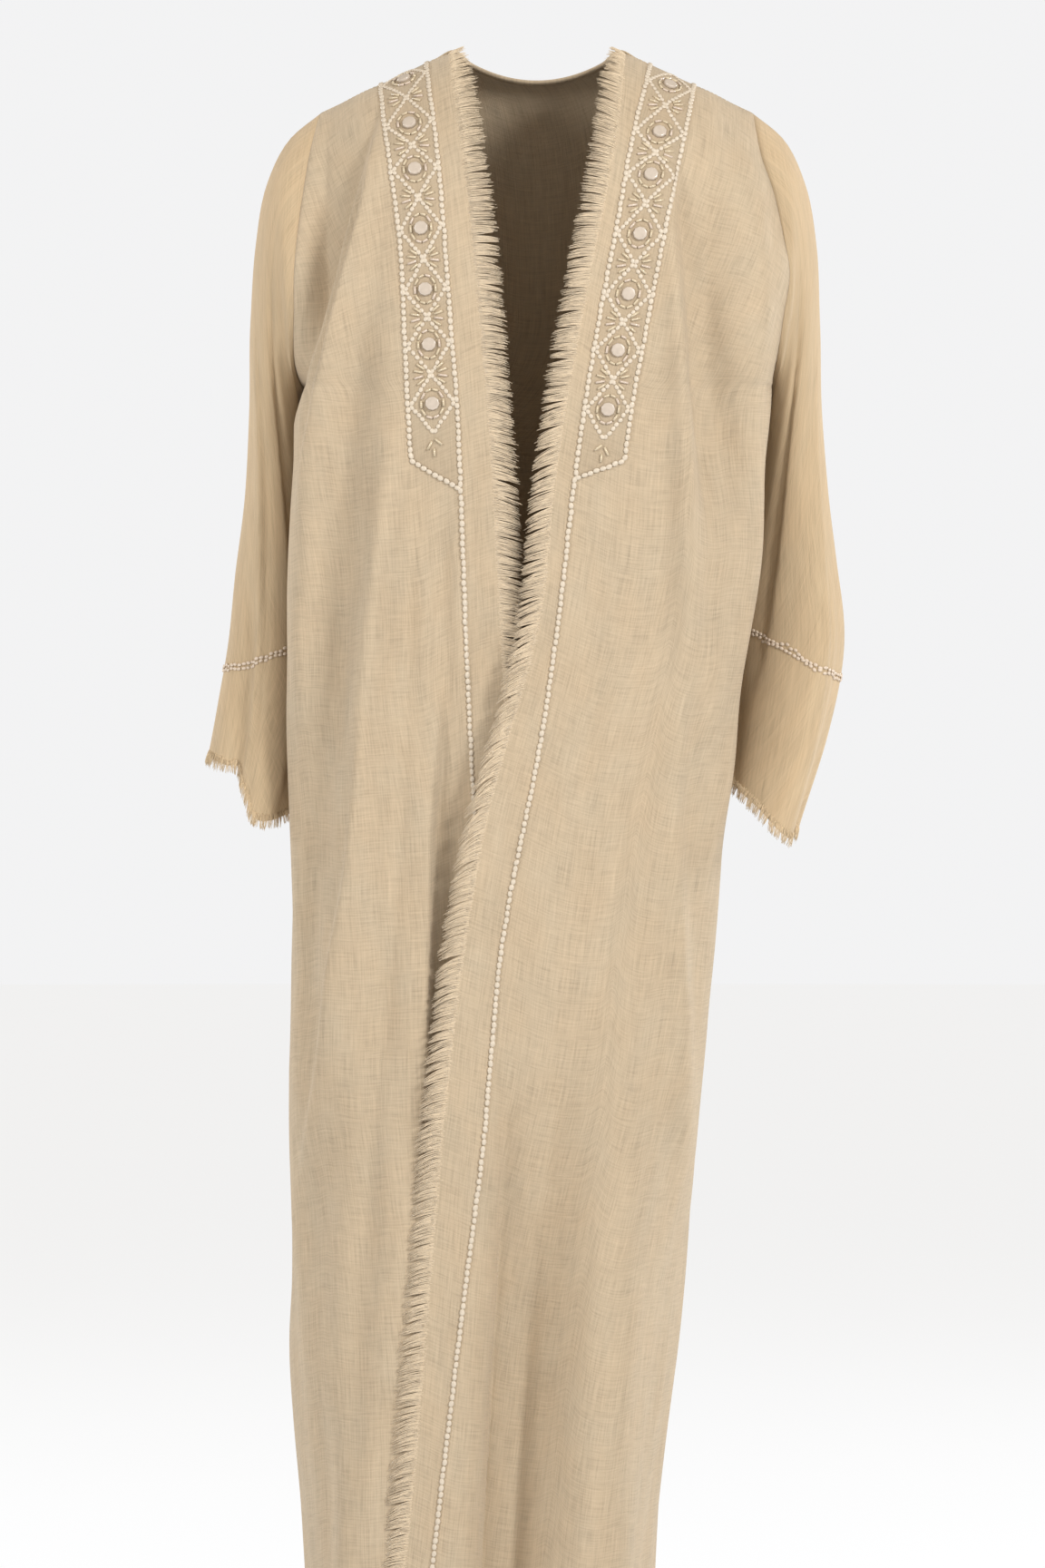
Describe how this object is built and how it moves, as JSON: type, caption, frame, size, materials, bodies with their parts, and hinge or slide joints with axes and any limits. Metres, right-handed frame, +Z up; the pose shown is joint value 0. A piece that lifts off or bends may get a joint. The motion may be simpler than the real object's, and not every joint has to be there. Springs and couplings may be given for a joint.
{
  "type": "abaya cloak",
  "caption": "Open-front, ankle-length cloak with long loose sleeves, frayed front edges and cuffs, and a beaded panel on each side of the chest.",
  "frame": {"origin": "midway between the two neck points of the shoulder seams, where the wearer's shoulders hold the cloak up", "axes": "+Z up, -Y the way the wearer faces, +X the wearer's left"},
  "size_m": [0.5398, 0.2999, 1.4336],
  "materials": {
    "cloth": "matte slubbed linen-like weave",
    "fringe": "matte loose threads",
    "beads": "cloth panel covered with cream and gold beads"
  },
  "bodies": {
    "root": {"back": "cloth", "front_right": "cloth", "front_left": "cloth", "sleeve_right": "cloth", "sleeve_left": "cloth", "fringe_front_right": "fringe", "fringe_front_left": "fringe", "fringe_cuff_right": "fringe", "fringe_cuff_left": "fringe", "beadwork_right": "beads", "beadwork_left": "beads"}
  },
  "joints": []
}
